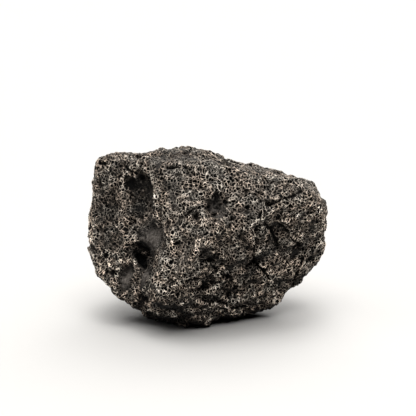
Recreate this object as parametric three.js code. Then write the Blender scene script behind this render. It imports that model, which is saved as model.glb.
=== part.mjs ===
// An iron meteorite the size of a fist: one lump of nickel-iron, never cut or polished.
// Millimetres. +X is right, +Y is to the back and +Z is up. The origin is on the surface that the lump
// rests on, under the middle of its bounding box.

import * as THREE from 'three';
import { ImprovedNoise } from 'three/addons/math/ImprovedNoise.js';
import { mergeVertices } from 'three/addons/utils/BufferGeometryUtils.js';

const HALF_WIDTH = 39.5;    // from the middle of the lump to its left and right ends
const CROWN_HEIGHT = 28.5;  // from the middle up to the crown
const SEAT_DEPTH = 29;      // from the middle down to the flat that the lump rests on
const MESH_ROWS = 22;       // rows of triangles along each edge of the first icosahedron
const EDGE_SHARPNESS = 34;  // how crisply two broad faces meet: higher is sharper

// A unit vector that points turn degrees round from the front, + to the right, and rise degrees above level.
function heading(turn, rise) {
  const [t, r] = [turn, rise].map(THREE.MathUtils.degToRad);
  return new THREE.Vector3(Math.sin(t) * Math.cos(r), -Math.cos(t) * Math.cos(r), Math.sin(r));
}

// The broad faces that bound the lump: which way each looks, and how far its plane lies from the middle.
const faces = [
  // The front: three faces that meet in one blunt corner, and the chin below them.
  { turn: -35, rise: 5, reach: 24 },
  { turn: 10, rise: 35, reach: 27.5 },
  { turn: 30, rise: -25, reach: 19.5 },
  { turn: -25, rise: -45, reach: 28 },
  // The top: the left crown falls to the back, and the long roof to the right.
  { turn: -170, rise: 76, reach: CROWN_HEIGHT },
  { turn: 0, rise: 90, reach: CROWN_HEIGHT },
  { turn: 115, rise: 76, reach: 26.2 },
  // The left end.
  { turn: -90, rise: 5, reach: HALF_WIDTH },
  { turn: -82, rise: -34, reach: 36.4 },
  { turn: -95, rise: -52, reach: 33.4 },
  // The right end.
  { turn: 90, rise: 3, reach: HALF_WIDTH + 0.8 },
  { turn: 86, rise: 34, reach: 39 },
  { turn: 92, rise: -30, reach: 37.2 },
  { turn: 88, rise: -47, reach: 33.8 },
  // The back.
  { turn: 178, rise: 12, reach: 27 },
  { turn: 145, rise: -28, reach: 30 },
  { turn: -150, rise: -30, reach: 29 },
  { turn: -135, rise: 15, reach: 38 },
  { turn: 142, rise: 25, reach: 34 },
  // Underneath: the seat, and the slopes that rise from it to each side.
  { turn: 0, rise: -90, reach: SEAT_DEPTH + 0.8 },
  { turn: 90, rise: -75, reach: 30.2 },
  { turn: 35, rise: -60, reach: 27.8 },
  { turn: -90, rise: -76, reach: 30.8 },
].map(({ turn, rise, reach }) => ({ normal: heading(turn, rise), reach }));

// Distance from the middle to the skin before anything is hollowed out of it.
function skinDistance(direction) {
  const pull = faces.reduce(
    (sum, { normal, reach }) => sum + Math.max(0, direction.dot(normal) / reach) ** EDGE_SHARPNESS, 0);
  return pull ** (-1 / EDGE_SHARPNESS);
}

// Thumbprints melted into the skin on the way down, and the swells between them, whose depth is negative.
// Each is an oval bowl: its heading from the middle as [turn, rise], its [width, height], its depth, and
// how many degrees it leans clockwise. A steep one has a flatter floor and steeper walls.
const bowls = [
  // The valley down the left of the front.
  { at: [-60, 37], size: [10, 13], depth: 3.6, steep: 4 },
  { at: [-58, 25], size: [8, 10], depth: 1.8 },
  { at: [-44, 9], size: [10, 15], depth: 1.6, lean: 25 },
  { at: [-55, -8], size: [6, 8], depth: 4, lean: -25, steep: 3 },
  { at: [-65, -24], size: [9, 18], depth: 2.6, lean: 20 },
  { at: [-52, -34], size: [7, 7], depth: 2.4 },
  // The left block.
  { at: [-84, 27], size: [7, 9], depth: 1.3 },
  { at: [-85, 4], size: [7, 6], depth: 1.1 },
  { at: [-85, -7], size: [7, 5], depth: 1.1 },
  { at: [-74, -18], size: [5, 6], depth: 1.4 },
  // The brow, and the crest that runs down from it.
  { at: [-27, 39], size: [7, 16], depth: 1.1, lean: -8 },
  { at: [9, 40], size: [5, 8], depth: 1.8 },
  { at: [3, 29], size: [6, 6], depth: 1.4 },
  { at: [-7, 23], size: [5, 6], depth: 1.4 },
  { at: [-12, -8], size: [5, 20], depth: -0.8, lean: 15 },
  { at: [-31, -24], size: [18, 22], depth: -2.8, lean: 10 },
  // The right cheek.
  { at: [0, -4], size: [6, 6], depth: 1.6 },
  { at: [-8, -32], size: [8, 5], depth: 2.4 },
  { at: [50, -17], size: [6, 5], depth: 2.6 },
  { at: [59, 10], size: [11, 6], depth: 1.5, lean: 40 },
  { at: [60, -38], size: [6, 5], depth: 1.2 },
  { at: [80, -9], size: [8, 6], depth: 0.8 },
  // The top.
  { at: [-75, 51], size: [7, 7], depth: 1 },
  { at: [-92, 52], size: [17, 24], depth: -1.5, lean: -10, steep: 3 },
  { at: [128, 43], size: [16, 9], depth: 0.9 },
  { at: [-135, 76], size: [28, 24], depth: -2.2 },
  { at: [75, 70], size: [16, 9], depth: 1.1, lean: 20 },
  { at: [140, 62], size: [14, 12], depth: 1.8 },
  { at: [-140, 55], size: [12, 10], depth: 1.6 },
  // The right end.
  { at: [86, 30], size: [9, 8], depth: -1.3 },
  { at: [92, 22], size: [16, 5], depth: 1.1 },
  { at: [97, 8], size: [13, 16], depth: 2.4, lean: 20 },
  { at: [93, -25], size: [9, 15], depth: -1 },
  { at: [110, -26], size: [10, 12], depth: 1.8 },
  { at: [97, -47], size: [12, 9], depth: -1.2 },
  // The back.
  { at: [122, 18], size: [12, 14], depth: 2.4 },
  { at: [136, -13], size: [13, 14], depth: 2.2, lean: -30 },
  { at: [160, 8], size: [18, 14], depth: 3 },
  { at: [170, 38], size: [15, 12], depth: 2.2 },
  { at: [178, -26], size: [19, 11], depth: 2 },
  { at: [-166, 16], size: [13, 16], depth: 2.6, lean: 15 },
  { at: [-150, -34], size: [12, 10], depth: 1.8 },
  { at: [-131, -4], size: [15, 20], depth: 3.2, lean: -20 },
  // The left end.
  { at: [-106, 24], size: [10, 14], depth: 2, lean: 15 },
  { at: [-108, -22], size: [12, 10], depth: 2 },
  // Underneath.
  { at: [-140, -60], size: [12, 9], depth: 1.4 },
  { at: [115, -60], size: [10, 8], depth: 1.4 },
  { at: [50, -78], size: [11, 15], depth: 2, lean: -40 },
  { at: [-74, -47], size: [8, 9], depth: -0.6 },
].map(({ at, size: [width, height], depth, lean = 0, steep = 2 }) => {
  const axis = heading(...at);
  const tilt = THREE.MathUtils.degToRad(-lean);
  const across = new THREE.Vector3(0, 0, 1).cross(axis).normalize().applyAxisAngle(axis, tilt);
  return { axis, across, up: axis.clone().cross(across), width, height, depth, steep };
});

// How far a bowl draws a point of the skin in along the bowl's axis: most in the middle, none past its rim.
function drawIn(point, { axis, across, up, width, height, depth, steep }) {
  const rim = Math.hypot(2 * point.dot(across) / width, 2 * point.dot(up) / height);
  return point.dot(axis) > 0 ? depth * Math.max(0, 1 - rim ** steep) : 0;
}

// Lumps and dents of every size down to the mesh's own triangles: [size, height] of each.
const grain = [[15, 1.1], [7, 0.8], [4, 0.5]];
const noise = new ImprovedNoise();
function lumpiness({ x, y, z }) {
  return grain.reduce((sum, [size, height]) => sum + height * noise.noise(x / size, y / size, z / size + size), 0);
}

function makeLump() {
  const ball = new THREE.IcosahedronGeometry(1, MESH_ROWS - 1);
  ball.deleteAttribute('normal');
  ball.deleteAttribute('uv');
  const lump = mergeVertices(ball, 1e-5);
  const corners = lump.getAttribute('position');
  for (let i = 0; i < corners.count; i += 1) {
    const outward = new THREE.Vector3().fromBufferAttribute(corners, i).normalize();
    const skin = outward.clone().multiplyScalar(skinDistance(outward));
    const point = skin.clone().addScaledVector(outward, lumpiness(skin));
    bowls.forEach((bowl) => point.addScaledVector(bowl.axis, -drawIn(skin, bowl)));
    corners.setXYZ(i, point.x, point.y, Math.max(point.z, -SEAT_DEPTH));
  }
  lump.computeBoundingBox();
  const { min, max } = lump.boundingBox;
  lump.translate(-(min.x + max.x) / 2, -(min.y + max.y) / 2, -min.z);
  lump.computeVertexNormals();
  return lump;
}

const rawIron = new THREE.MeshStandardMaterial({ color: 0x4b4541, roughness: 0.6, metalness: 0.5 });
const meteorite = new THREE.Mesh(makeLump(), rawIron);
meteorite.name = 'meteorite';

const part = new THREE.Group();
part.add(meteorite);

export default part;
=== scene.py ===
from math import atan2, copysign, cos, hypot, radians, sin

import bmesh
import bpy
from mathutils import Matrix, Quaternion, Vector, noise
from mathutils.bvhtree import BVHTree
from mathutils.kdtree import KDTree


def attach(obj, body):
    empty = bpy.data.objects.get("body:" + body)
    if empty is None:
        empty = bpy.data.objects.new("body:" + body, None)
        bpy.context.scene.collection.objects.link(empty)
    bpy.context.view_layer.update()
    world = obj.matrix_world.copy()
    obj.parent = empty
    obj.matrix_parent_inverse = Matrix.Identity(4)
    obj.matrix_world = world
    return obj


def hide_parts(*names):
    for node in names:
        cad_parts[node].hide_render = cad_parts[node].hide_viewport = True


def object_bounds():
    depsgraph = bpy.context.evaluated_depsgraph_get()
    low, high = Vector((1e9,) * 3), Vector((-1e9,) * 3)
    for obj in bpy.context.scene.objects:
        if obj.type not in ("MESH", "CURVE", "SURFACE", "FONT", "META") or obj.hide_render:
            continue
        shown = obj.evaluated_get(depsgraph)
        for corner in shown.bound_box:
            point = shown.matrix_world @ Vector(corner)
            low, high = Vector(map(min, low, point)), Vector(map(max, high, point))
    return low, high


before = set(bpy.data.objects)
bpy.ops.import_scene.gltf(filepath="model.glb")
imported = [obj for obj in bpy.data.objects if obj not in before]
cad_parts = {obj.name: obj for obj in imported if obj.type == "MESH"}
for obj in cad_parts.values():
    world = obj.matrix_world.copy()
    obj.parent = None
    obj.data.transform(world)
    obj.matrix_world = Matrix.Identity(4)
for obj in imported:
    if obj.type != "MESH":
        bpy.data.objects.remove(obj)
cad_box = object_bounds()

# ---- The broad form --------------------------------------------------------------------------------
# One lump of nickel-iron, never cut. It broke off a larger body, and the air melted its corners blunt
# on the way down. It lies loose on its own weight, with nothing fixed to it.

MM = 0.001
MIDDLE = Vector((0, -0.7, 29)) * MM  # the point inside the lump that every heading below starts from
FLAT_HALVINGS = 1                    # times that each edge of the solid is halved, its shape kept
ROUND_HALVINGS = 2                   # and then halved with the facets rounded into each other

scene = bpy.context.scene
lump = bpy.data.objects.new("meteorite_lump", bpy.data.meshes.new("meteorite_lump"))
scene.collection.objects.link(lump)
form = bmesh.new()
form.from_mesh(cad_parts["meteorite"].data)
bmesh.ops.remove_doubles(form, verts=form.verts, dist=0.001 * MM)
form.to_mesh(lump.data)
form.free()
if "custom_normal" in lump.data.attributes:
    lump.data.attributes.remove(lump.data.attributes["custom_normal"])
lump.data.shade_smooth()


def settle(piece, kind, **settings):
    """Adds a modifier to a piece and applies it."""
    modifier = piece.modifiers.new(kind, kind)
    for name, value in settings.items():
        setattr(modifier, name, value)
    with bpy.context.temp_override(object=piece, active_object=piece, selected_objects=[piece]):
        bpy.ops.object.modifier_apply(modifier=modifier.name)


settle(lump, "SUBSURF", subdivision_type="SIMPLE", levels=FLAT_HALVINGS, render_levels=FLAT_HALVINGS)
settle(lump, "SUBSURF", levels=ROUND_HALVINGS, render_levels=ROUND_HALVINGS)

# ---- Thumbprints, pits, ledges and cracks ----------------------------------------------------------
# Hot gas dug round-floored hollows and melted them smooth, and weather has since opened pits and
# cracks between them. Each is pressed into the skin of the same lump.

STRAYS = ((1.6, 0.35), (4.0, 0.5))  # over what distance an edge strays, and how far, in millimetres
NORMAL_OVER = 60                    # how many corners an outward direction is the mean of

form = bmesh.new()
form.from_mesh(lump.data)
form.verts.ensure_lookup_table()
form.normal_update()
worn = form.verts.layers.float.new("worn")  # 1 where the skin was melted smooth
soot_and_shade = form.verts.layers.float.new("soot_and_shade")  # 1 where the skin is painted dark: partly burnt crust, partly painted shade
bare_and_highlight = form.verts.layers.float.new("bare_and_highlight")  # 1 where it is painted pale: partly rubbed metal, partly painted highlight
skin = BVHTree.FromBMesh(form)
rest = [vert.co.copy() for vert in form.verts]
nearby = KDTree(len(rest))
for index, place in enumerate(rest):
    nearby.insert(place, index)
nearby.balance()


def heading(turn, rise):
    """A unit vector turn degrees round from the front, + to the right, and rise degrees above level."""
    turn, rise = radians(turn), radians(rise)
    return Vector((sin(turn) * cos(rise), -cos(turn) * cos(rise), sin(rise)))


def on_skin(turn, rise):
    """The place where a line from the middle meets the skin, and the outward direction there."""
    place = skin.ray_cast(MIDDLE, heading(turn, rise))[0]
    around = [form.verts[index].normal for _, index, _ in nearby.find_n(place, NORMAL_OVER)]
    return place, sum(around, Vector()).normalized()


def stray(place):
    """How far an edge strays at a place, in millimetres."""
    return sum(reach * noise.noise(place / (over * MM)) for over, reach in STRAYS)


def keep_higher(vert, layer, amount):
    """Writes an amount, kept between 0 and 1, where it is more than what is already there."""
    vert[layer] = max(vert[layer], min(1, max(0, amount)))


def press(at, size, depth=0, lean=0, steep=2, smooth=0, dark=0, pale=0, rim=0):
    """Sinks an oval bowl, or raises a swell where depth is below 0, and finishes its floor and its rim.

    It lies at a heading, with its size in millimetres, and leans so many degrees clockwise. A steep one
    has a flatter floor. The rest says how smooth, dark or pale the floor is, and how pale the rim. The
    dark is partly burnt crust and partly painted shade, the pale and the rim partly rubbed metal and
    partly painted highlight.
    """
    place, outward = on_skin(*at)
    across = Vector((0, 0, 1)).cross(outward).normalized()
    across.rotate(Quaternion(outward, radians(-lean)))
    up = outward.cross(across)
    width, height = size
    for _, index, _ in nearby.find_range(place, max(size) * 0.75 * MM):
        vert = form.verts[index]
        away = (rest[index] - place) / MM
        # How far out the place is: 0 in the middle and 1 on the edge, which strays.
        out = hypot(2 * away.dot(across) / width, 2 * away.dot(up) / height)
        out += stray(rest[index]) * 4 / (width + height)
        if vert.normal.dot(outward) > 0:
            vert.co -= outward * depth * MM * (1 - min(1, max(out, 0)) ** steep)
            # The finish is full over most of the floor, and its own edge strays further than the bowl's.
            ragged = out + stray(rest[index] * 1.7) * 8 / (width + height)
            finish = 1 - max(0, ragged) ** (steep - 1)
            keep_higher(vert, worn, smooth * 1.7 * finish)
            # Painted shade as well as burnt crust where it is dark, and painted highlight as well as
            # rubbed metal where the floor or the rim is pale.
            keep_higher(vert, soot_and_shade, dark * 1.8 * finish)
            on_rim = 1 - abs(out - 1.06) * 5
            keep_higher(vert, bare_and_highlight, max(rim * on_rim, pale * 2 * finish))


def score(line, width, depth, step=0, fade=3, dark=0.8, rim=0):
    """Cuts a crack along a line of headings, and lifts the skin to the left of it by a fading step.

    The width, the depth, the step and how soon it fades are in millimetres.
    """
    stops = [on_skin(*stop) for stop in line]
    nearest = {}
    for (start, start_outward), (end, end_outward) in zip(stops, stops[1:]):
        outward = (start_outward + end_outward).normalized()
        along = end - start
        for _, index, _ in nearby.find_range((start + end) / 2, along.length / 2 + max(width, fade) * MM):
            from_start = rest[index] - start
            part = min(1, max(0, from_start.dot(along) / along.length_squared))
            away = from_start - along * part
            away -= outward * away.dot(outward)
            if index not in nearest or away.length < nearest[index][0]:
                nearest[index] = away.length, copysign(1, along.cross(away).dot(outward)), outward
    for index, (distance, side, outward) in nearest.items():
        vert = form.verts[index]
        distance = distance / MM * side + stray(rest[index])
        inside = max(0, 1 - abs(2 * distance / width))
        rise = step * max(0, 1 - distance / fade) if distance > 0 else 0
        if vert.normal.dot(outward) > 0:
            vert.co += outward * (rise - depth * min(1, 1.6 * inside)) * MM
            on_rim = 1 - abs(abs(distance) * 2 / width - 1.2) * 2.5
            # The crack is painted dark, painted shade in the crevice, and its rim pale, partly rubbed
            # metal and partly a painted highlight on the edge.
            keep_higher(vert, soot_and_shade, dark * 2 * inside)
            keep_higher(vert, bare_and_highlight, rim * on_rim)


# A hollow painted dark is partly burnt crust and partly painted shade in its depth.
for hollow in (
    # The dark pit at the top of the valley, its smooth right wall and the shelf inside it.
    dict(at=(-65, 39), size=(13.5, 15), depth=1.7, steep=3, smooth=0.3, dark=0.27),
    dict(at=(-58, 38), size=(3.4, 11), depth=0.8, lean=-6, smooth=1, dark=0.35),
    dict(at=(-71, 38), size=(3.6, 5.6), depth=1.3, dark=0.8, steep=3),
    dict(at=(-66.5, 43), size=(3.4, 3), depth=1, dark=0.9, smooth=0.4),
    dict(at=(-67, 36.5), size=(2.6, 2.4), depth=-0.9, smooth=0.7),
    dict(at=(-65, 27), size=(6, 8), depth=1, smooth=0.3, dark=0.4, rim=0.3),
    # The smooth saddle, and the deep pit at its foot.
    dict(at=(-49, 8), size=(13, 20), depth=0.5, lean=25, smooth=0.8),
    dict(at=(-51, 24), size=(8, 15), lean=14, smooth=0.35, dark=0.06),
    dict(at=(-56, -15), size=(8, 16), lean=25, smooth=0.35),
    dict(at=(-58, -4), size=(14, 9.5), depth=1.3, lean=-8, smooth=0.25, dark=0.4),
    dict(at=(-59.5, -11), size=(3.6, 7), depth=2.2, lean=-40, steep=3, dark=1),
    dict(at=(-57, 2), size=(3, 3), depth=0.7, dark=0.6),
    dict(at=(-62, -5), size=(7, 8), depth=0.5, lean=-10, smooth=0.3, dark=0.5),
    # The scoop, the smooth tongue beside it and the brown hollow under them.
    dict(at=(-69, -22), size=(7, 17), depth=1.1, lean=24, smooth=0.8, pale=0.5),
    dict(at=(-50, -19), size=(6, 12), depth=0.3, lean=28, smooth=0.8),
    dict(at=(-59, -30), size=(5, 6), depth=0.7, lean=20, dark=0.3),
    dict(at=(-58, -35.5), size=(6, 6), depth=1.5, smooth=0.25, dark=0.6),
    dict(at=(-75.5, -16.5), size=(2.2, 3.2), depth=1.6, dark=1),
    dict(at=(-33, -21.5), size=(1.7, 1.5), depth=1.2, dark=1, rim=1),
    dict(at=(-64, -45), size=(4, 3), depth=-0.7, lean=-20),
    # The left block.
    dict(at=(-87, 29), size=(3.6, 5), depth=1, smooth=0.3, dark=0.55),
    dict(at=(-84, 7), size=(4.4, 3.6), depth=0.9, smooth=0.5, dark=0.4),
    dict(at=(-86, -5), size=(4, 3), depth=0.4, dark=0.55),
    dict(at=(-73, 8), size=(3.6, 2.6), depth=0.8, dark=0.45),
    dict(at=(-78, 26), size=(7, 12), depth=0.6, lean=-10, dark=0.22),
    dict(at=(-80, -4), size=(7, 8), depth=-0.4),
    # The band and the patches on the brow.
    dict(at=(-28, 40), size=(6, 16), depth=-0.3, lean=-6, smooth=0.45),
    dict(at=(-26, 40), size=(8, 18), lean=-6, pale=0.8),
    dict(at=(-34, 54), size=(5, 2), depth=1.1, dark=0.9, rim=0.5),
    dict(at=(-45, 51), size=(3, 2.6), depth=0.4, smooth=0.8, dark=0.2),
    dict(at=(-36, 46), size=(2.6, 2.2), depth=0.4, smooth=0.8, dark=0.2),
    dict(at=(8, 36), size=(7.4, 9), depth=0.8, steep=3, smooth=0.45, dark=0.08),
    dict(at=(8.5, 43), size=(3, 4.6), depth=0.7, smooth=0.5, dark=0.3),
    dict(at=(3.5, 35.5), size=(2.8, 3), depth=0.9, smooth=0.4, dark=0.3, rim=0.7),
    dict(at=(9.5, 29.5), size=(4.6, 3), depth=0.5, smooth=1.2, dark=0.1, rim=0.3),
    dict(at=(-7.5, 26.5), size=(3.4, 4), depth=1.6, dark=0.75),
    dict(at=(17.6, 25), size=(2.4, 1.8), depth=0.9, dark=0.8),
    # The crest that runs down from the brow, and its wedge, painted pale along the ridge: partly rubbed
    # metal, partly a painted highlight where the ridge catches the lamps.
    dict(at=(-14, -3), size=(5, 9), depth=-0.4, lean=25),
    dict(at=(-15, -8), size=(5, 7), depth=-0.4, lean=25, pale=0.5),
    dict(at=(-14, -7), size=(8, 15), depth=-1.5, lean=22, smooth=0.2, pale=0.7),
    # The cheek and the foot of the crest.
    dict(at=(1.2, -5), size=(3.4, 3), depth=1.5, dark=0.7),
    dict(at=(-7, -33.5), size=(6.6, 3.8), depth=1.8, smooth=0.3, dark=1),
    dict(at=(9.5, -32), size=(3, 2), depth=1.2, dark=0.9),
    dict(at=(7, -29.5), size=(2.8, 2), depth=1.2, dark=0.9),
    dict(at=(55.5, -16.9), size=(3.8, 3.2), depth=2, dark=1),
    dict(at=(51, -19), size=(2, 1.8), depth=1.4, dark=1),
    dict(at=(58, 13), size=(8, 6), depth=1.1, lean=30, smooth=0.3, dark=0.25),
    dict(at=(66, -40), size=(2.2, 2.6), depth=1, dark=0.8),
    dict(at=(80, -7), size=(4, 6), depth=0.5, smooth=0.8, dark=0.1),
    dict(at=(45.8, 29.4), size=(3, 2), depth=1.5, dark=1),
    # The notches in the top edge.
    dict(at=(-81, 53), size=(5, 3), depth=1.1, dark=0.7, rim=0.9),
    dict(at=(-62, 51), size=(3.2, 1.2), depth=0.9, dark=0.8),
    # Faces that are painted darker all over, from the left round to the right: partly a burnt crust,
    # partly painted shade where a face turns from the lamps.
    dict(at=(-82, -2), size=(8, 10), steep=3, dark=0.2),
    dict(at=(-81, 18), size=(14, 22), steep=3, dark=0.26),
    dict(at=(-77, 43), size=(10, 6), dark=0.17),
    dict(at=(-72, 2), size=(14, 9), steep=3, dark=0.25),
    dict(at=(-71, 25), size=(7, 9), dark=0.2),
    dict(at=(-70, 7), size=(8, 9), dark=0.2),
    dict(at=(-67, -29), size=(8, 6), dark=0.22),
    dict(at=(-60, -37), size=(14, 8), dark=0.25),
    dict(at=(-50, -27), size=(9, 6), dark=0.3),
    dict(at=(-48, 51), size=(6, 6), dark=0.15),
    dict(at=(-45, 74), size=(24, 16), dark=0.22),
    dict(at=(-40, -5), size=(5, 6), dark=0.15),
    dict(at=(-40, -31), size=(13, 10), steep=3, dark=0.23),
    dict(at=(-39, 34), size=(4, 9), lean=12, dark=0.25),
    dict(at=(-12, 12), size=(4, 8), lean=20, dark=0.2),
    dict(at=(-10, 17), size=(5, 8), dark=0.15),
    dict(at=(6, 1), size=(13, 18), lean=-15, steep=3, dark=0.12),
    dict(at=(9, 16), size=(10, 8), dark=0.2),
    dict(at=(25, -45), size=(34, 12), lean=-10, steep=3, dark=0.13),
    dict(at=(28, 49), size=(6, 6), dark=0.15),
    dict(at=(29, 77), size=(16, 9), dark=0.25),
    dict(at=(31, -13), size=(36, 24), lean=-25, steep=4, dark=0.12),
    dict(at=(53, 23), size=(9, 7), steep=3, dark=0.3),
    dict(at=(60, 11), size=(15, 14), lean=20, steep=3, dark=0.2),
    dict(at=(68, -36), size=(9, 12), steep=3, dark=0.1),
    dict(at=(71, 17), size=(5, 5), dark=0.2),
    dict(at=(71, 22), size=(9, 9), dark=0.17),
    # Faces that are painted paler, from the left round to the right: partly rubbed metal, partly a
    # painted highlight where a face catches the lamps.
    dict(at=(-39.5, 23), size=(7, 8), pale=0.7),
    dict(at=(-25, -15), size=(6, 5), lean=25, pale=0.3),
    dict(at=(-22, 2), size=(9, 18), lean=25, steep=3, pale=0.08),
    dict(at=(-21, 50), size=(5, 7), pale=0.8),
    dict(at=(-7, 36), size=(8, 5), pale=0.6),
    dict(at=(28, 32), size=(6, 4), depth=-0.7, pale=0.25),
    dict(at=(29, 35), size=(9, 6), pale=0.35),
    dict(at=(51, 40), size=(8, 4), pale=0.3),
    dict(at=(64, 30), size=(5, 4), pale=0.3),
    # Where the two ends and the edge of the roof stand proud or fall back.
    dict(at=(-95, 34), size=(8, 8), depth=0.6),
    dict(at=(-92, -20), size=(10, 10), depth=-0.5),
    dict(at=(-89, 24), size=(6, 6), depth=-0.6),
    dict(at=(-88, 12), size=(8, 6), depth=-0.6),
    dict(at=(-78, 50), size=(9, 7), depth=0.3),
    dict(at=(93, -26), size=(13, 12), depth=0.85),
    dict(at=(101, 57), size=(10, 7), depth=-0.9),
    # Thumbprints and broken patches on the right end.
    dict(at=(97, 8), size=(14, 17), depth=1.3, lean=20, smooth=0.5),
    dict(at=(84, 34), size=(8, 10), depth=0.5, lean=-30, smooth=0.3),
    dict(at=(110, 28), size=(11, 8), depth=1.1, lean=15, smooth=0.4),
    dict(at=(108, -22), size=(10, 10), depth=1.2, smooth=0.4, dark=0.15),
    dict(at=(86, -33), size=(9, 6), depth=1.1, lean=-20, dark=0.1),
    dict(at=(89, -12), size=(4, 3), depth=1.2, dark=0.7),
    # The back.
    dict(at=(156, 11), size=(19, 12), depth=1.6, lean=20, smooth=0.5, dark=0.05),
    dict(at=(-172, 22), size=(12, 10), depth=1.2, lean=-10, smooth=0.3),
    dict(at=(-151, 3), size=(14, 12), depth=1.5, lean=-25, smooth=0.4),
    dict(at=(-174, -13), size=(13, 9), depth=1.3, lean=15, smooth=0.2, dark=0.2),
    dict(at=(139, -14), size=(12, 12), depth=1.4, lean=-30, smooth=0.4, dark=0.1),
    dict(at=(171, 41), size=(14, 9), depth=1.3, smooth=0.3),
    dict(at=(-130, -6), size=(12, 18), depth=1.5, lean=-20, smooth=0.5, dark=0.05),
    dict(at=(-140, 27), size=(9, 8), depth=1, dark=0.25),
    dict(at=(124, 14), size=(10, 12), depth=1.3, smooth=0.3, dark=0.1),
    dict(at=(-152, -35), size=(11, 7), depth=1.2, lean=15, smooth=0.2, dark=0.2),
    dict(at=(166, -37), size=(12, 7), depth=1.2, lean=-10, dark=0.2),
    dict(at=(150, -28), size=(4, 3), depth=1, dark=0.7),
    dict(at=(-160, -21), size=(5, 2.6), depth=1, lean=30, dark=0.6),
    dict(at=(133, 31), size=(4, 2.6), depth=1, lean=-20, dark=0.7),
    # The left end.
    dict(at=(-107, 23), size=(11, 14), depth=1.4, lean=15, smooth=0.45),
    dict(at=(-112, -18), size=(12, 9), depth=1.4, lean=-10, smooth=0.35, dark=0.1),
    dict(at=(-96, -4), size=(8, 6), depth=0.9, smooth=0.2, dark=0.2),
    dict(at=(-98, 9), size=(2.6, 2.4), depth=1, dark=0.8),
    dict(at=(-97, -36), size=(9, 6), depth=1, lean=20, dark=0.3),
    # The top.
    dict(at=(75, 70), size=(15, 8), depth=1.1, lean=20, smooth=0.4),
    dict(at=(140, 62), size=(13, 10), depth=1.3, smooth=0.35),
    dict(at=(-140, 55), size=(12, 8), depth=1.3, lean=-20, smooth=0.35),
    dict(at=(20, 83), size=(10, 5), depth=0.8, lean=30, smooth=0.2, dark=0.1),
    dict(at=(-100, 68), size=(10, 7), depth=1, smooth=0.3),
    dict(at=(-170, 72), size=(3.6, 2.4), depth=1, dark=0.7),
):
    press(**hollow)

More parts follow.
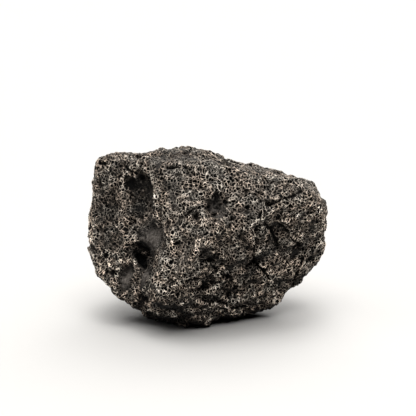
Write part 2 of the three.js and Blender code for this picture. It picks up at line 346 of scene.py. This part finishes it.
for crack in (
    # Down the band and across the brow.
    dict(line=((-24, 49), (-22, 40)), width=0.6, depth=0.4, dark=0.5),
    dict(line=((13, 39), (21, 37)), width=0.8, depth=0.8),
    dict(line=((46, 30), (50, 29.6), (56.5, 29.6), (64, 29.4)),
         width=0.8, depth=0.5, step=0.5, fade=3, dark=0.7),
    dict(line=((23, 58), (30, 51), (35, 44.6)), width=0.9, depth=0.5, step=0.5, fade=3, dark=0.4),
    # Round the valley.
    dict(line=((-73.6, 42.5), (-69.3, 42.9)), width=0.9, depth=0.8),
    dict(line=((-88, 36), (-84, 38.5)), width=1, depth=0.7, dark=0.9),
    dict(line=((-66.8, -25.2), (-61.7, -20.3), (-55.1, -14.3)),
         width=0.6, depth=0, step=0.9, fade=2, dark=0),
    dict(line=((-65, 20), (-61, 21), (-57.9, 24)),
         width=0.8, depth=0.2, step=-0.5, fade=1.6, rim=1, dark=0),
    # The crest.
    dict(line=((-9.1, -2.6), (-4.2, 9.3), (-2.4, 23.9), (-10.3, 34.6)),
         width=0.9, depth=0, step=0.3, fade=3, dark=0),
    dict(line=((-15.3, -14.8), (-10.9, -4.8), (-6.1, 4.4), (-2, 15.6)),
         width=1.3, depth=0, step=1.2, fade=5, rim=1, dark=0),
    dict(line=((-11, -14), (-6.5, -5), (-1.5, 4)), width=1, depth=0.6, dark=0.5),
    dict(line=((-15, 28.5), (-8.4, 33.5), (-2, 35)),
         width=1.4, depth=0, step=0.4, fade=1.5, rim=1, dark=0),
    # The cheek.
    dict(line=((37, 25), (37.7, 18.9), (42.6, 8.7), (44.6, -2.1), (55, -17)),
         width=1.4, depth=1.3, dark=1),
    dict(line=((55, -17), (58.7, -19.6), (73.2, -29.4)),
         width=1.2, depth=1.2, step=0.5, fade=2, rim=0.6, dark=1),
    dict(line=((3.8, -9), (11.9, -18.4), (24, -27), (33.2, -35.6)),
         width=1.4, depth=1.2, step=0.5, fade=2, rim=0.4, dark=1),
    dict(line=((54.3, 18.3), (66.6, 8.2), (79.5, -2.9)),
         width=1.2, depth=1.1, step=0.8, fade=2.4, dark=1),
    dict(line=((50, 22), (62, 15), (75, 4)), width=0.8, depth=0.6, step=0.7, fade=1.6, rim=0.8),
    dict(line=((44.4, 19.2), (54.9, 13.8), (64, 2)), width=1.1, depth=1, dark=1),
    dict(line=((-5.4, -19.9), (-15.5, -15.4)),
         width=0.8, depth=0.3, step=0.8, fade=1.6, rim=0.8, dark=0.5),
    dict(line=((-1.3, -9.1), (8.6, -19)), width=0.9, depth=0.8),
    # The layers at the foot.
    dict(line=((-8, -39), (0, -50), (24, -59), (46, -62), (70, -58)),
         width=0.9, depth=0.9, step=-0.9, fade=2, rim=0.9, dark=1),
    dict(line=((88, -61), (60, -67), (30, -70)),
         width=0.9, depth=0.9, step=-0.8, fade=2, rim=0.9, dark=1),
    dict(line=((60, -52), (40, -50), (24, -49)),
         width=0.8, depth=0.7, step=-0.7, fade=2, rim=0.5, dark=0.9),
    # The right end, the back, the left end and the top.
    dict(line=((84, 22), (92, 17), (104, 20)), width=0.7, depth=0.6, step=0.6, fade=2.4, dark=0.5),
    dict(line=((88, 4), (85, -10), (90, -26)), width=0.7, depth=0.6, step=0.5, fade=2.4, dark=0.6),
    dict(line=((98, -15), (112, -8)), width=0.7, depth=0.7, dark=0.6),
    dict(line=((132, 36), (141, 20), (143, 4)), width=0.7, depth=0.6, step=0.8, fade=3, dark=0.5),
    dict(line=((-178, 30), (176, 12), (-176, -2)), width=0.6, depth=0.4, step=0.7, fade=3, dark=0.4),
    dict(line=((122, -24), (140, -36), (160, -38)), width=0.7, depth=0.6, step=-0.8, fade=3, dark=0.5),
    dict(line=((-152, 34), (-147, 19), (-142, 6)), width=0.6, depth=0.5, step=0.7, fade=3, dark=0.4),
    dict(line=((-94, 34), (-93, 18), (-100, 6)), width=0.7, depth=0.7, dark=0.6),
    dict(line=((-122, 34), (-118, 14)), width=0.7, depth=0.5, step=0.6, fade=3, dark=0.4),
    dict(line=((-60, 74), (-112, 80)), width=0.7, depth=0.5, step=0.5, fade=3, dark=0.5),
    dict(line=((140, 74), (104, 66)), width=0.7, depth=0.6, dark=0.5),
    dict(line=((170, 56), (146, 51), (120, 54)), width=0.7, depth=0.5, step=0.6, fade=2.4, dark=0.5),
):
    score(**crack)

form.to_mesh(lump.data)
form.free()

# ---- The crust -------------------------------------------------------------------------------------
# The skin of the melt: a dark brown-grey crust eaten into small pits, with paler worn crests of bare
# metal between them. The pits are painted darker, partly for their dark oxide and partly as painted
# shade, and the crests paler, partly bare metal and partly painted glints. It is part of the lump,
# under a millimetre deep.

WIDE_SPACING = 2.4         # millimetres from one wide hole to the next
NET_SPACING = 1.03         # and from one pit of the net to the next
GRAIN_SPACING = 0.75       # and from one speck to the next
SEAM_SPACING = 9.0         # and from one hairline crack to the next
CRUST_DEPTH = 0.75         # millimetres from a crest to the floor of the deepest hole
LUMPS = ((5.0, 1.4), (2.6, 1.0))  # spacing and height of the lumps under the crust, in millimetres
SMOOTHING = 40             # steps of smoothing that tell a ridge from a hollow
MOST_TRIANGLES = 195000    # in the finished piece
SIDE_SHARE = 0.94          # how much of its own square each side of the lump fills on the baking map
FLOW = (0.5, 0.35, 0.79)   # the way that the melt ran, which the smooth hollows are streaked along
STREAK = 0.85              # how far the streaks are drawn out: 0 is not at all, and 1 is without end


class Wire:
    """One socket of a node tree. Sums and products of sockets add the nodes that work them out."""

    def __init__(self, socket):
        self.socket = socket

    def node(self, kind, settings=None, sockets=None, out=0):
        return wired(self.socket.id_data, kind, settings, sockets, out)

    def math(self, operation, *others):
        sockets = dict(enumerate((self, *others)))
        return self.node("ShaderNodeMath", {"operation": operation}, sockets)

    def vector(self, operation, *others, out=0):
        sockets = dict(enumerate((self, *others)))
        return self.node("ShaderNodeVectorMath", {"operation": operation}, sockets, out)

    def __add__(self, other):
        return self.math("ADD", other)

    def __mul__(self, other):
        return self.math("MULTIPLY", other)

    def __sub__(self, other):
        return self.math("SUBTRACT", other)

    def __rsub__(self, other):
        return (self * -1) + other

    __radd__, __rmul__ = __add__, __mul__

    def scaled(self, by):
        return self.node("ShaderNodeVectorMath", {"operation": "SCALE"}, {0: self, "Scale": by})

    def between(self, low, high, start=0.0, end=1.0):
        """The wire's run from low to high, eased into a run from start to end."""
        return self.node("ShaderNodeMapRange", {"interpolation_type": "SMOOTHSTEP"},
                         {0: self, 1: low, 2: high, 3: start, 4: end})


def wired(tree, kind, settings=None, sockets=None, out=0):
    """One output of a new node, once its settings are made and its sockets have a wire or a value."""
    node = tree.nodes.new(kind)
    for name, value in (settings or {}).items():
        setattr(node, name, value)
    for name, value in (sockets or {}).items():
        if isinstance(value, Wire):
            tree.links.new(value.socket, node.inputs[name])
        else:
            node.inputs[name].default_value = value
    return Wire(node.outputs[out]) if node.outputs else None


def cells(at, spacing, feature, out="Distance"):
    """A pattern of cells about so far apart."""
    sockets = {"Vector": at, "Scale": 1 / spacing}
    return at.node("ShaderNodeTexVoronoi", {"feature": feature}, sockets, out)


def cloud(at, spacing, detail=2.0, out=0):
    """A soft random pattern, whose patches are about so far apart."""
    sockets = {"Vector": at, "Scale": 1 / spacing, "Detail": detail}
    return at.node("ShaderNodeTexNoise", None, sockets, out)


def pushed(at, spacing, reach):
    """A place moved about by up to half of reach, so that a pattern there bends."""
    return cloud(at, spacing, 2.0, "Color").vector("MULTIPLY_ADD", (reach, reach, reach), at)


def crust(place, melted):
    """The crust at a place in millimetres, which is smoother where it was melted.

    Gives its height, how far the place is on a worn crest, in a pit and in a hole or a seam, its fine
    grain, and how far the place is crusted at all.
    """
    bent = pushed(pushed(place, 1.3, 0.8), 5.0, 3.0)
    ragged = (cloud(place, 1.8) - 0.5) * 1.2 + (cloud(place, 0.6) - 0.5) * 0.8
    rough = (melted + ragged * 0.8).between(0.15, 1.05, 1.0, 0.1)
    crowd = cloud(place, 3.2, 2.0).between(0.32, 0.56)
    # A wide hole in a few of the widest cells, and a hairline seam here and there.
    wide = cells(bent, WIDE_SPACING, "F1", "Color")
    luck = wide.node("ShaderNodeSeparateXYZ", None, {0: wide})
    hole = (1 - cells(bent, WIDE_SPACING, "F1").between(0.12, 0.34)) * luck.between(0.65, 0.85)
    seam = 1 - cells(pushed(bent, 2.5, 1.5), SEAM_SPACING, "DISTANCE_TO_EDGE").between(0.01, 0.035)
    seam = seam * cloud(place, 7.0, 1.0).between(0.5, 0.6)
    # The net: a cell is an open pit or a closed one, by its own random numbers, with a wall round it.
    web = cells(bent, NET_SPACING, "DISTANCE_TO_EDGE")
    sort = cells(bent, NET_SPACING, "F1", "Color")
    draw = sort.node("ShaderNodeSeparateXYZ", None, {0: sort})
    tight = sort.node("ShaderNodeSeparateXYZ", None, {0: sort}, 1)
    open_cell = (draw + (crowd - 0.5) * 0.5 - melted * 0.5).between(0.15, 0.6)
    pit = (web - tight * 0.12).between(0.06, 0.14) * open_cell
    # The specks between the pits.
    fine = cells(bent, GRAIN_SPACING, "DISTANCE_TO_EDGE")
    dot = 1 - cells(bent, GRAIN_SPACING, "F1").between(0.1, 0.35)
    dot = dot * cloud(place, 1.2, 2.0).between(0.45, 0.6)
    # How dark a place is painted: partly dark oxide in the pits and specks, partly painted shade that the
    # shallow relief can't cast.
    dark = pit.math("MAXIMUM", dot * 0.75)
    grain = cloud(place, 0.45, 3.0)
    height = 1 - (hole * 0.9 + pit * 0.6 + dot * 0.2) * rough - seam * 0.8 + (grain - 0.5) * 0.4
    # The pale crest lines are partly bare metal and partly painted glints, where bare metal would catch
    # the lamps.
    wall = (1 - web.between(0.04, 0.115)) * open_cell.between(0, 1, 0.55, 1.0)
    line = wall.math("MAXIMUM", (1 - fine.between(0.03, 0.12)) * (1 - dark) * 0.6)
    crest = line * (1 - hole) * cloud(place, 1.4, 2.0).between(0.35, 0.6, 0.65, 1.0) * rough
    return height, crest, dark, hole.math("MAXIMUM", seam), grain, rough


group = bpy.data.node_groups.new("crust_relief", "GeometryNodeTree")
group.interface.new_socket("Geometry", in_out="INPUT", socket_type="NodeSocketGeometry")
group.interface.new_socket("Geometry", in_out="OUTPUT", socket_type="NodeSocketGeometry")
start = wired(group, "NodeGroupInput")
position = wired(group, "GeometryNodeInputPosition")
normal = wired(group, "GeometryNodeInputNormal")
melted = wired(group, "GeometryNodeInputNamedAttribute", {"data_type": "FLOAT"}, {"Name": "worn"})


def shifted(geometry, offset):
    """The mesh with each corner moved by an offset."""
    return geometry.node("GeometryNodeSetPosition", None, {"Geometry": geometry, "Offset": offset})


def stored(geometry, name, value, kind):
    """The mesh with a value kept on each corner under a name."""
    return geometry.node("GeometryNodeStoreNamedAttribute", {"data_type": kind},
                         {"Geometry": geometry, "Name": name, "Value": value})


# Lumps under the crust, which are lower where it was melted smooth.
lumpy = start
in_mm = position.scaled(1 / MM)
for spacing, rise in LUMPS:
    bumps = (cloud(pushed(in_mm, 3.0, 2.0), spacing, 3.0) - 0.5) * (1 - melted * 0.8) * (rise * 2 * MM)
    lumpy = shifted(lumpy, normal.scaled(bumps))

# How far a corner stands out of the skin about it, and how far the skin looks up, are kept for the
# material, which paints shade by them, with the corner's place before the crust moves it.
average = position.node("GeometryNodeBlurAttribute", {"data_type": "FLOAT_VECTOR"},
                        {"Value": position, "Iterations": SMOOTHING})
proud = position.vector("SUBTRACT", average).vector("DOT_PRODUCT", normal, out="Value") * (1 / MM)
slope = normal.node("GeometryNodeBlurAttribute", {"data_type": "FLOAT_VECTOR"},
                    {"Value": normal, "Iterations": SMOOTHING})
upward = slope.node("ShaderNodeSeparateXYZ", None, {0: slope}, "Z")
kept = stored(stored(lumpy, "skin", position, "FLOAT_VECTOR"), "proud", proud, "FLOAT")
kept = stored(kept, "upward", upward, "FLOAT")

height = crust(in_mm, melted)[0]
moved = shifted(kept, normal.scaled((height - 0.8) * (CRUST_DEPTH * MM)))
wired(group, "NodeGroupOutput", None, {0: moved})
settle(lump, "NODES", node_group=group)

triangles = sum(len(face.vertices) - 2 for face in lump.data.polygons)
settle(lump, "DECIMATE", ratio=MOST_TRIANGLES / triangles, use_collapse_triangulate=True)
form = bmesh.new()
form.from_mesh(lump.data)
for vert in form.verts:
    vert.co.z = max(vert.co.z, cad_box[0].z)

# The map for baking: the lump as six sides of a cube round its middle, in two columns of three squares.
chart = form.loops.layers.uv.new("OFBake")
for face in form.faces:
    toward = face.calc_center_median() - MIDDLE
    axis = max(range(3), key=lambda number: abs(toward[number]))
    facing = copysign(1, toward[axis])
    column, row = (facing + 1) / 2, axis
    for loop in face.loops:
        away = loop.vert.co - MIDDLE
        across, up = (
            0.5 + SIDE_SHARE / 2 * atan2(away[(axis + turn) % 3], away[axis] * facing) / radians(45)
            for turn in (1, 2))
        loop[chart].uv = ((column + across) / 2, (row + up) / 3)
form.to_mesh(lump.data)
form.free()

metal = bpy.data.materials.new("pitted_iron")
metal.use_nodes = True
tree = metal.node_tree
tree.nodes.clear()


def read(name, out="Fac"):
    return wired(tree, "ShaderNodeAttribute", {"attribute_name": name}, None, out)


def mixed(factor, first, second):
    """A colour on its way from the first to the second."""
    return factor.node("ShaderNodeMix", {"data_type": "RGBA"}, {0: factor, 6: first, 7: second}, 2)


place = read("skin", "Vector").scaled(1 / MM)
melted, burnt_and_shaded, rubbed_and_highlight = read("worn"), read("soot_and_shade"), read("bare_and_highlight")
raised, upward = read("proud"), read("upward")
height, crest, dark, hole, grain, rough = crust(place, melted)

# Where it is crusted: a dark ground with darker pits and pale crests, and less pale the more it looks
# down. The less it looks up, the darker it is painted and the stronger its pits and crests: painted
# shade for the light from above.
ground = 0.06 + (grain - 0.5) * 0.3
sunk = (dark * 0.95).math("MAXIMUM", hole * 0.95)
detail = ground * (1 - sunk) + crest * 0.9
crusted = (detail - 0.34) * upward.between(-0.5, 0.5, 2.6, 1.0) + upward.between(-0.5, 0.6, 0.08, 0.19)

# Where it is melted smooth: an even grey, streaked the way that the melt ran.
along = place.vector("DOT_PRODUCT", FLOW, out="Value") * -STREAK
flow = along.node("ShaderNodeCombineXYZ", None, {0: along, 1: along, 2: along})
drawn = flow.vector("MULTIPLY_ADD", FLOW, place)
sleek = 0.43 + (cloud(drawn, 0.5, 3.0) - 0.5) * 0.45 + (grain - 0.5) * 0.35

# Both are painted paler on the ridges and darker in the hollows, partly wear and partly painted shade,
# paler where rubbed, partly rubbed metal and partly painted highlight, and darker where burnt, partly
# burnt crust and partly painted shade. They are painted darker the more they look down, and a little
# darker where they look straight up: painted shade from how the lamps fall.
blotch = cloud(place, 12.0, 2.0)
look = crusted * rough + sleek * (1 - rough)
look = look * raised.between(-0.6, 0.6, 0.7, 1.15) * blotch.between(0.3, 0.7, 0.85, 1.15)
# Painted shade: darker the less it looks up.
look = (look + rubbed_and_highlight * 0.12) * upward.between(-0.5, 0.6, 0.8, 0.95)
look = look * (1 - burnt_and_shaded * 0.88)
# Painted shade underneath, lifted where it is painted pale.
look = look * (upward + rubbed_and_highlight * 0.4).between(-0.8, -0.1, 0.12, 1.0)
# Painted a little darker where it looks straight up.
look = look * upward.between(0.7, 1.0, 1.0, 0.85)
tone = look.math("MAXIMUM", 0.02).math("POWER", 2.2)

rusty, sandy, steely = (1.2, 0.98, 0.79, 1), (1.1, 0.99, 0.85, 1), (1.1, 0.98, 0.88, 1)
warm = mixed(cloud(place, 4.0, 3.0).between(0.35, 0.65), rusty, sandy)
shade = mixed(rough, steely, warm).scaled(tone)
bump = height.node("ShaderNodeBump", None, {
    "Height": height, "Distance": CRUST_DEPTH * MM, "Strength": 0.7})
surface = shade.node("ShaderNodeBsdfPrincipled", None, {
    "Base Color": shade, "Roughness": 0.62, "Metallic": 0.3, "Specular IOR Level": 0.1, "Normal": bump})
wired(tree, "ShaderNodeOutputMaterial", None, {"Surface": surface})
lump.data.materials.clear()
lump.data.materials.append(metal)

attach(lump, "root")
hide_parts("meteorite")

# ---- Table top, light and camera -------------------------------------------------------------------
# A broad pale sheet of matt paper in a white room, under wide soft lamps, most of them overhead, and a
# lens that looks slightly down at the front of the lump.

TABLE_REACH = 20      # metres from the lump to the edge of the sheet, beyond which the room is white
CAMERA_AWAY = 351     # millimetres from the point that the camera looks at
CAMERA_RISE = 12      # degrees above level
AIM = (0.4, 2, 38.8)  # the point that the camera looks at, in millimetres

floor = bpy.data.objects.new("table_top", bpy.data.meshes.new("table_top"))
scene.collection.objects.link(floor)
form = bmesh.new()
bmesh.ops.create_grid(form, x_segments=1, y_segments=1, size=TABLE_REACH)
form.to_mesh(floor.data)
form.free()
paper = bpy.data.materials.new("pale_paper")
paper.use_nodes = True
paper.node_tree.nodes.clear()
sheet = wired(paper.node_tree, "ShaderNodeBsdfPrincipled", None, {
    "Base Color": (0.48, 0.47, 0.455, 1), "Roughness": 0.9, "Specular IOR Level": 0})
wired(paper.node_tree, "ShaderNodeOutputMaterial", None, {"Surface": sheet})
floor.data.materials.append(paper)

scene.view_settings.view_transform = "Standard"
room = bpy.data.worlds.new("white_room")
room.use_nodes = True
room.node_tree.nodes.clear()
seen = wired(room.node_tree, "ShaderNodeLightPath", None, None, "Is Camera Ray")
wall = seen.node("ShaderNodeBackground", None, {"Color": (1, 1, 1, 1), "Strength": seen})
wired(room.node_tree, "ShaderNodeOutputWorld", None, {"Surface": wall})
scene.world = room
for name, turn, rise, width, power in (  # each lamp's heading and width in degrees, and its power
    ("overhead", 0, 90, 25, 1.10),
    ("over_front", 0, 62, 45, 2.69),
    ("over_left", -70, 62, 40, 0.79),
    ("over_right", 70, 62, 40, 0.68),
    ("over_back", 180, 62, 45, 0.50),
    ("behind", 180, 54, 45, 1.0),
    ("behind_right", 140, 48, 45, 0.95),
    ("front_left", -50, 40, 45, 0.26),
):
    lamp = bpy.data.objects.new(name, bpy.data.lights.new(name, "SUN"))
    lamp.data.angle = radians(width)
    lamp.data.energy = power
    lamp.rotation_euler = heading(turn, rise).to_track_quat("Z", "Y").to_euler()
    scene.collection.objects.link(lamp)

camera = bpy.data.objects.new("camera", bpy.data.cameras.new("camera"))
camera.data.lens = 90
back = heading(0, CAMERA_RISE)
camera.location = (Vector(AIM) + back * CAMERA_AWAY) * MM
camera.rotation_euler = (-back).to_track_quat("-Z", "Y").to_euler()
scene.collection.objects.link(camera)
scene.camera = camera
